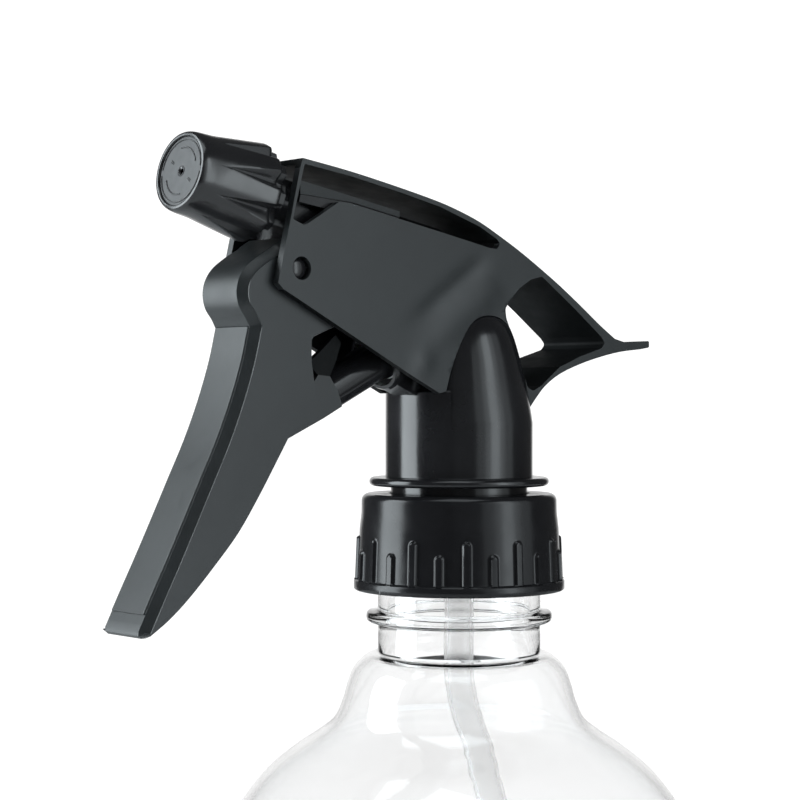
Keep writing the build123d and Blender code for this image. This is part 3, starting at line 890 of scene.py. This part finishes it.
ROOM = [
    (48.0, 207.4), (36.4, 206.1), (27.8, 204.9), (18.2, 203.2), (10.3, 201.6), (2.0, 199.1), (-6.5, 195.0),
    (-8.3, 192.6), (-6.2, 188.0), (-5.6, 184.0), (-8.2, 178.0), (-10.0, 168.0), (48.0, 168.0),
]
SLOT = [
    (36.1, 206.2), (27.7, 205.1), (18.1, 203.4), (10.2, 201.8), (2.0, 199.3), (-1.6, 197.6), (-2.3, 196.9),
    (-1.6, 196.1), (0.0, 196.2), (8.2, 197.7), (18.2, 199.5), (27.8, 201.2), (29.7, 201.3), (35.4, 197.9),
    (36.2, 197.6), (38.2, 198.3),
]
SLOT_ROUND = [0.3, 0, 0, 0, 0, 0, 0.4, 0.4, 0, 0, 0, 0, 0.8, 0.5, 0.5, 0.4]
WINDOW = [
    (-4.2, 188.2), (-6.5, 190.3), (-8.9, 191.7), (-11.4, 192.3), (-18.9, 187.4), (-24.9, 183.2),
    (-25.9, 182.2), (-25.0, 181.3), (-20.0, 179.9), (-15.4, 178.2), (-11.2, 175.2), (-9.4, 174.4),
    (-8.2, 175.0), (-7.4, 177.0), (-6.4, 180.2), (-4.6, 183.5), (-3.6, 185.6), (-3.4, 187.0),
]
WINDOW_FLOOR_Z = 182.2        # the tail window's floor lies below this, and the roof above it
FOLD_START = (1.2, 194.2)     # on the side plate, below the slot's rear end
FOLD_WAY = (0.835, -0.55)     # the fold runs down and forward
GUIDE_SPAN = (5.32, 5.58)     # the guide strips' inner and outer faces


def side_swell(x, z):
    """How far a side plate stands out at a place.

    It has a soft valley with a swelling behind it, and a low lobe by the front of the arch.
    """
    dx, dz = x - FOLD_START[0], z - FOLD_START[1]
    along = dx * FOLD_WAY[0] + dz * FOLD_WAY[1]
    across = -dx * FOLD_WAY[1] + dz * FOLD_WAY[0]
    fade = 1 / (1 + exp(-(along - 0.5) / 1.0)) / (1 + exp((along - 15.0) / 1.6))
    valley = -0.36 * exp(-((across + 0.2) / 1.5) ** 2)
    swelling = 0.34 * exp(-((across + 4.6) / 2.4) ** 2)
    lobe = 0.3 * exp(-(((x - 13.6) / 1.7) ** 2 + ((z - 178.6) / 1.9) ** 2))
    return (valley + swelling) * fade + lobe


def make_shroud():
    outline = through(ROOF, 3) + TONGUE + through(UNDERSIDE, 3)[:-1] + through(ARCH, 3) + FRONT
    body = plate("cover_shell", outline, -SHROUD_HALF, SHROUD_HALF)
    inside = SHROUD_HALF - SHROUD_WALL
    cut(body, plate("room", ROOM, -inside, inside))
    dome_skin = [(r + 0.1 if r else 0, z + 0.1) for r, z in through(DOME, 5)]
    cut(body, lathe("dome", [(0, 160.0), (COLUMN_R + 0.1, 160.0)] + dome_skin, 96))
    wide = SHROUD_HALF + 2
    cut(body, plate("slot", rounded(SLOT, SLOT_ROUND, 4), -wide, wide))
    cut(body, plate("window", rounded(WINDOW, 0.8, 4), -wide, wide))
    cut(body, cross_rod("pivot_hole", PIVOT_HOLE_R, -20, 20, PIVOT, 56))
    soften(body, 0.28, 2)
    bend(body)
    shade(body, 35)
    dress(body, "charcoal_satin", "sprayer_head")
    body.data.materials.append(MATERIALS["charcoal_painted_shade"])
    # painted shade: the inner faces, the window's floor and what faces down get the darkened copy of the
    # charcoal
    for face in body.data.polygons:
        within = abs(face.center.y) < (inside + 0.02) * MM
        hidden = within and (face.normal.z < 0.5 or face.center.z < WINDOW_FLOOR_Z * MM)
        if hidden or face.normal.z < -0.75:
            face.material_index = 1
    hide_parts("shroud")
    make_rail_covers()


def bend(body):
    """Splits the side plates along the folds and moves them out or in."""
    bm = bmesh.new()
    bm.from_mesh(body.data)
    ways = ((Vector((-FOLD_WAY[1], 0, FOLD_WAY[0])), [0.7 * k for k in range(-14, 6)]),
            (Vector((FOLD_WAY[0], 0, FOLD_WAY[1])), [1.3 * k for k in range(-2, 18)]))
    start = Vector((FOLD_START[0], 0, FOLD_START[1]))
    for way, offsets in ways:
        for offset in offsets:
            geometry = bm.verts[:] + bm.edges[:] + bm.faces[:]
            place = (start + way * offset) * MM
            bmesh.ops.bisect_plane(bm, geom=geometry, dist=1e-7, plane_co=place, plane_no=way)
    for v in bm.verts:
        if abs(v.co.y) > (SHROUD_HALF - SHROUD_WALL - 0.1) * MM:
            v.co.y += side_swell(v.co.x / MM, v.co.z / MM) * MM * (1 if v.co.y > 0 else -1)
    bm.to_mesh(body.data)
    bm.free()


def make_rail_covers():
    """The guide strips inside the cover that grip the barrel's rails and show through the slots."""
    strip = [(35.9, 204.0), (26.3, 202.35), (17.2, 200.75), (17.2, 199.9), (26.3, 201.5), (35.9, 202.1)]
    for side, name in ((1, "guide_left"), (-1, "guide_right")):
        low, high = sorted(side * y for y in GUIDE_SPAN)
        obj = plate(name, strip, low, high)
        shade(obj, 35)
        dress(obj, "charcoal_rail", "sprayer_head")


# ---------------------------------------------------------------- nozzle


GROOVE_COUNT = 9
GROOVE_PHASE = 9.5
GROOVE_START = 3.8       # distance of the grooves' points from the face
GROOVE_RUN = 8.4         # length over which they widen and deepen
GROOVE_DEPTH = 1.35
GROOVE_SHARE = 0.25      # part of the mesh lines between two grooves' centres that half a groove takes
RECESS_Z = -0.42         # the knob's face lies this deep in its rim
MARK_FOOT_Z = -0.4
MARK_TOP_Z = -0.24


def nozzle_grooves(r, z, angle):
    """Grooves that start in points behind the face; the mesh lines run along their edges."""
    if r < 5.2:
        return r, angle
    step = 2 * pi / GROOVE_COUNT
    turn = angle - radians(GROOVE_PHASE)
    index = round(turn / step)
    share_round = (turn - index * step) / step
    near = abs(share_round)
    reach = min(1.0, max(0.0, (-GROOVE_START - z) / GROOVE_RUN))
    half = (0.06 + 1.4 * reach) / r
    if near < GROOVE_SHARE:
        across = half * near / GROOVE_SHARE
    else:
        across = half + (step / 2 - half) * (near - GROOVE_SHARE) / (0.5 - GROOVE_SHARE)
    fall = 1 - min(1.0, max(0.0, (near / GROOVE_SHARE - 0.25) / 0.75))
    across = across if share_round > 0 else -across
    return r - GROOVE_DEPTH * reach * fall, radians(GROOVE_PHASE) + index * step + across


def make_nozzle():
    rear = -NOZZLE_LENGTH
    stem_room = STEM_R + 0.3
    inner_end = BARREL_FRONT + 1.0
    rear_rim = [
        (stem_room, rear), (6.15, rear), (6.4, rear + 0.25), (6.4, rear + 1.2), (6.9, rear + 1.45),
        (7.12, rear + 1.7),
    ]
    skirt = [rear + 2.0 + 0.3 * k for k in range(27)]
    side = [(7.18 - 0.148 * (z - rear - 2.0), z) for z in skirt]
    front_rim = [
        (5.93, -3.6), (5.86, -2.4), (5.8, -1.4), (5.72, -0.8), (5.6, -0.35), (5.42, -0.08), (5.2, 0.0),
        (5.0, -0.04), (4.9, -0.2), (4.86, RECESS_Z),
    ]
    orifice = [(0.75, RECESS_Z), (0.68, -0.36), (0.6, -0.36), (0.52, RECESS_Z), (0.35, -0.5), (0.35, -2.05)]
    inside = [(1.75, -2.05), (1.75, inner_end), (stem_room, inner_end)]
    outline = rear_rim + side + front_rim + orifice + inside
    obj = lathe("nozzle_knob", outline, GROOVE_COUNT * 32, BARREL, shape_of=nozzle_grooves)
    shade(obj, 32)
    dress(obj, "knob_black", "nozzle_cap")
    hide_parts("nozzle_cap")

    # the textured face and its generic marks, which are four arcs and two pairs of ticks
    rings = [(0.8, -0.5), (4.84, -0.5), (4.84, -0.38), (4.7, -0.34), (0.95, -0.34), (0.8, -0.38)]
    face = lathe("nozzle_face", rings, 96, BARREL)
    shade(face, 35)
    dress(face, "nozzle_face", "nozzle_cap")
    arcs = ((20, 100, 3.35), (200, 280, 3.35), (5, 175, 4.45), (185, 355, 4.45))
    for k, (start, end, radius) in enumerate(arcs):
        bow = arc_strip(f"face_mark_{k}", radius, 0.12, start, end)
        dress(bow, "black_gloss", "nozzle_cap")
    for k, angle in enumerate((145, 150, 325, 330)):
        tick = arc_strip(f"face_tick_{k}", 2.6, 0.5, angle, angle + 2)
        dress(tick, "black_gloss", "nozzle_cap")


def arc_strip(name, radius, half, start, end):
    """A low raised strip that follows a circle on the nozzle's face."""
    bm = bmesh.new()
    steps = max(2, int((end - start) / 4))
    top = half * 0.7
    corners = (
        (radius - half, MARK_FOOT_Z), (radius + half, MARK_FOOT_Z), (radius + top, MARK_TOP_Z),
        (radius - top, MARK_TOP_Z),
    )
    previous = None
    for k in range(steps + 1):
        a = radians(start + (end - start) * k / steps)
        section = [bm.verts.new((r * cos(a), r * sin(a), z)) for r, z in corners]
        if previous:
            for i in range(4):
                j = (i + 1) % 4
                bm.faces.new([previous[i], previous[j], section[j], section[i]])
        else:
            bm.faces.new(section)
        previous = section
    bm.faces.new(list(reversed(previous)))
    obj = finished(name, bm, BARREL)
    shade(obj, 35)
    return obj


# ---------------------------------------------------------------- tube, springs and hidden pieces


TUBE_RUN = [
    (0, 155.5), (0, 140.0), (0, 131.5), (-0.9, 126.2), (-3.1, 120.4), (-7.0, 110.4), (-13.0, 95.0),
    (-19.0, 79.5), (-24.0, 66.0), (-27.0, 53.0), (-28.9, 36.0), (-30.2, 18.0), (-31.0, 8.0),
]


def make_dip_tube():
    points = [(x, 0, z) for x, z in through(TUBE_RUN, 5)]
    obj = tube("suction_tube", points, TUBE_R, TUBE_BORE_R, 32)
    shade(obj, 50)
    dress(obj, "milky_tube", "sprayer_head")
    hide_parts("dip_tube")


def helix_points(radius, low, high, turns, place, per_turn):
    """The middle line of a coil made about Z between low and high, put in its place."""
    count = int(turns * per_turn)
    points = []
    for k in range(count + 1):
        a = 2 * pi * k / per_turn
        point = Vector((radius * cos(a), radius * sin(a), low + (high - low) * k / count))
        points.append(place @ point)
    return points


def make_springs():
    wire_r = 0.35
    coil = helix_points(3.1, HEAD_SPAN[1] + 0.4, CYLINDER_DEPTH - wire_r, 6, PUMP, 28)
    main = tube("main_spring", coil, wire_r, None, 12)
    shade(main, 60)
    dress(main, "spring_steel", "sprayer_head")
    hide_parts("return_spring")
    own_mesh(main)

    low, high = CHAMBER_REAR + 1.35, CHAMBER_REAR + 7.0
    wire_r = 0.2
    coil = helix_points(1.45, low + wire_r, high - wire_r, 7, BARREL, 20)
    small = tube("valve_spring", coil, wire_r, None, 8)
    shade(small, 60)
    dress(small, "spring_steel", "sprayer_head")
    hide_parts("outlet_spring")
    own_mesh(small)


HIDDEN_LOOKS = {
    "neck_gasket": "white_foam",
    "tube_holder": "natural_plastic",
    "inlet_ball": "steel_ball",
    "piston_cup": "natural_plastic",
    "vent_wiper": "natural_plastic",
    "outlet_valve": "natural_plastic",
    "swirl_post": "natural_plastic",
    "nozzle_seal": "natural_plastic",
}


def dress_hidden_pieces():
    """Gives the pieces that stay as the CAD has them their looks."""
    for node, look in HIDDEN_LOOKS.items():
        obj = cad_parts[node]
        obj.data.materials.clear()
        obj.data.materials.append(MATERIALS[look])
        obj.data.shade_smooth()
        obj.data.set_sharp_from_angle(angle=radians(35))


# ---------------------------------------------------------------- stage, light and camera


LIT_POINT = (5, 0, 165)
COOL_WHITE = (0.88, 0.96, 1.0)


def softbox(name, direction, distance, width, height, power):
    """A rectangular area light, sizes in metres, that points at the sprayer's head."""
    light = bpy.data.lights.new(name, "AREA")
    light.shape = "RECTANGLE"
    light.size = width
    light.size_y = height
    light.energy = power
    light.color = COOL_WHITE
    obj = bpy.data.objects.new(name, light)
    way = Vector(direction).normalized()
    obj.location = Vector(LIT_POINT) * MM + way * distance
    obj.rotation_euler = way.to_track_quat("Z", "Y").to_euler()
    bpy.context.scene.collection.objects.link(obj)


VIEW_TURN = 41.5         # degrees between the camera's direction and the sprayer's left side
CAMERA_HEIGHT = 173.0
CAMERA_DISTANCE = 310.0
CAMERA_SHIFT = 9.145     # how far the bottle's axis stands right of the picture's middle
LENS = 90                # millimetres, on a sensor 36 wide
SENSOR_WIDTH = 36
FLOOR_R = 440
SEEN_LIGHT = 1.15        # the white that the camera sees round the object
ROOM_LIGHT = 0.07
BACKDROP_LIGHT = 1.05
BACKDROP_EDGE = (0.86, 0.97)  # cosines between which the backdrop fades in
CLEAR_ROOM_LIGHT = 0.74       # this and the next two are the same for what is seen through clear plastic
CLEAR_BACKDROP_LIGHT = 1.12
CLEAR_EDGE = (-0.1, 0.6)


def toward(turn, rise=0.0):
    """A direction from the object, turned right from the camera's own direction by turn degrees."""
    a = radians(90 - VIEW_TURN + turn)
    e = radians(rise)
    return Vector((cos(a) * cos(e), sin(a) * cos(e), sin(e)))


def make_floor():
    bm = bmesh.new()
    bmesh.ops.create_circle(bm, cap_ends=True, segments=96, radius=FLOOR_R)
    floor = finished("floor", bm, Matrix.Translation((0, 0, -0.02)))
    s = Shader("floor", (0.93, 0.93, 0.93), 0.6)
    s.colors(s.noise(6, 3), (0.925, 0.925, 0.925), (0.935, 0.935, 0.935))
    s.roughness(s.noise(40, 3), 0.55, 0.65)
    floor.data.materials.append(s.material)


def make_world():
    """A dark room with a white backdrop behind the object; the camera itself sees white all round."""
    world = bpy.data.worlds.new("studio")
    world.use_nodes = True
    nodes = world.node_tree.nodes
    link = world.node_tree.links.new
    nodes.clear()
    out = nodes.new("ShaderNodeOutputWorld")
    white = nodes.new("ShaderNodeBackground")
    fill(white, Color=(1, 1, 1, 1), Strength=SEEN_LIGHT)
    room = nodes.new("ShaderNodeBackground")
    fill(room, Color=(1, 1, 1, 1))
    direction = nodes.new("ShaderNodeTexCoord").outputs["Generated"]
    behind = nodes.new("ShaderNodeVectorMath")
    behind.operation = "DOT_PRODUCT"
    behind.inputs[1].default_value = tuple(-toward(0))
    link(direction, behind.inputs[0])
    path = nodes.new("ShaderNodeLightPath")
    strength = nodes.new("ShaderNodeMix")
    strength.data_type = "FLOAT"
    link(path.outputs["Transmission Depth"], strength.inputs["Factor"])
    looks = (("A", BACKDROP_EDGE, ROOM_LIGHT, BACKDROP_LIGHT),
             ("B", CLEAR_EDGE, CLEAR_ROOM_LIGHT, CLEAR_BACKDROP_LIGHT))
    for socket, (start, end), darkest, brightest in looks:
        spread = nodes.new("ShaderNodeMapRange")
        spread.interpolation_type = "SMOOTHSTEP"
        fill(spread, From_Min=start, From_Max=end, To_Min=darkest, To_Max=brightest)
        link(behind.outputs["Value"], spread.inputs["Value"])
        link(spread.outputs["Result"], strength.inputs[socket])
    link(strength.outputs["Result"], room.inputs["Strength"])
    mix = nodes.new("ShaderNodeMixShader")
    link(path.outputs["Is Camera Ray"], mix.inputs["Fac"])
    link(room.outputs[0], mix.inputs[1])
    link(white.outputs[0], mix.inputs[2])
    link(mix.outputs[0], out.inputs["Surface"])
    bpy.context.scene.world = world


def make_lights():
    softbox("left_box", toward(-86, 6), 0.8, 0.46, 1.0, 11.0)
    softbox("right_wide", toward(58, 8), 0.92, 1.15, 1.0, 2.7)
    softbox("right_core", toward(57, 8), 0.9, 0.55, 1.0, 1.5)
    softbox("right_peak", toward(57, 8), 0.88, 0.24, 1.0, 1.7)
    softbox("top_box", toward(-30, 72), 0.9, 0.9, 0.6, 3.6)
    softbox("front_fill", toward(12, 18), 1.3, 1.0, 1.0, 0.25)


def make_camera():
    scene = bpy.context.scene
    scene.view_settings.view_transform = "Standard"
    camera = bpy.data.cameras.new("camera")
    camera.lens = LENS
    camera.sensor_width = SENSOR_WIDTH
    obj = bpy.data.objects.new("camera", camera)
    facing = toward(0)
    right = toward(90)
    obj.location = (facing * CAMERA_DISTANCE - right * CAMERA_SHIFT + Vector((0, 0, CAMERA_HEIGHT))) * MM
    obj.rotation_euler = facing.to_track_quat("Z", "Y").to_euler()
    scene.collection.objects.link(obj)
    scene.camera = obj


make_floor()
make_world()
make_lights()
make_camera()
make_bottle()
make_closure()
make_pump_body()
make_piston()
make_trigger()
make_shroud()
make_nozzle()
make_dip_tube()
make_springs()
dress_hidden_pieces()
